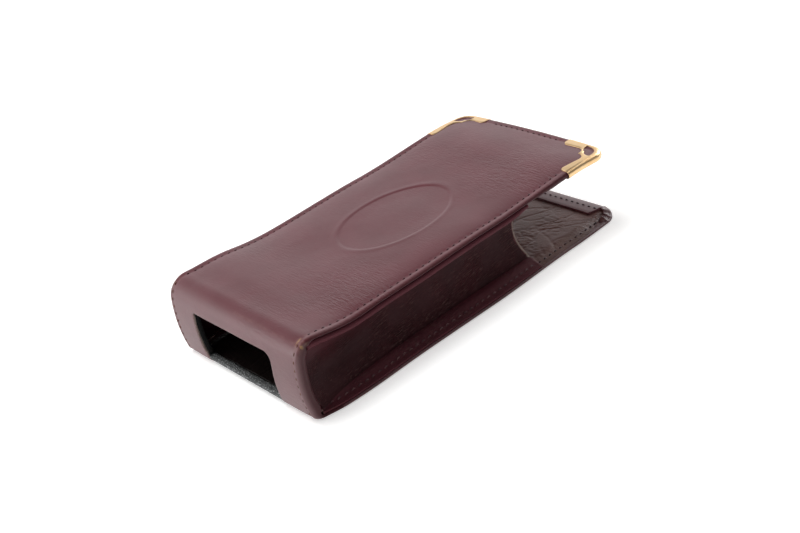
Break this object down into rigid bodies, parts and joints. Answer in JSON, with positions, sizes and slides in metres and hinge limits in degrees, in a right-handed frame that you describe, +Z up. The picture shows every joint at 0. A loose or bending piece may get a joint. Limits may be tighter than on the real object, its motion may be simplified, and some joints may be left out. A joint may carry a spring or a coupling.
{
  "type": "leather cigarette case",
  "caption": "Open-ended leather sleeve with gusseted sides, a thumb window at the closed end, flexing lips at the mouth and gilt metal corners, for carrying a pack of cigarettes.",
  "frame": {"origin": "centre of the case's outline on the table that it lies on", "axes": "+X across the case, +Y from the windowed end to the mouth, +Z up through the front panel"},
  "size_m": [0.0672, 0.135, 0.0274],
  "materials": {
    "burgundy_leather": "smooth finished leather with a soft sheen",
    "gusset_leather": "dark burgundy leather, finely grained",
    "lining_leather": "thin creased lining leather",
    "black_lining": "matt black lining cloth",
    "stiffener_board": "grey stiffener board",
    "gilt_metal": "polished gilt"
  },
  "bodies": {
    "case": {"outer_wrap": "burgundy_leather", "front_board": "stiffener_board", "end_board": "stiffener_board", "back_board": "stiffener_board", "front_lining": "lining_leather", "end_lining": "black_lining", "back_lining": "lining_leather", "base_edge_binding": "black_lining", "right_gusset": "gusset_leather", "left_gusset": "gusset_leather"},
    "front_lip": {"front_lip_leather": "burgundy_leather", "front_lip_board": "stiffener_board", "front_lip_lining": "lining_leather", "right_corner_mount": "gilt_metal", "left_corner_mount": "gilt_metal"},
    "back_lip": {"back_lip_leather": "burgundy_leather", "back_lip_board": "stiffener_board", "back_lip_lining": "lining_leather"}
  },
  "joints": [
    {"name": "front_lip_flex", "type": "hinge", "parent": "case", "child": "front_lip", "pos_m": [0, 0.02945, 0.0259], "axis": [1, 0, 0], "range_deg": [-10, 30], "stiffness_Nm_per_rad": 0.12},
    {"name": "back_lip_flex", "type": "hinge", "parent": "case", "child": "back_lip", "pos_m": [0, 0.02945, 0], "axis": [1, 0, 0], "range_deg": [-20, 10], "stiffness_Nm_per_rad": 0.12}
  ]
}
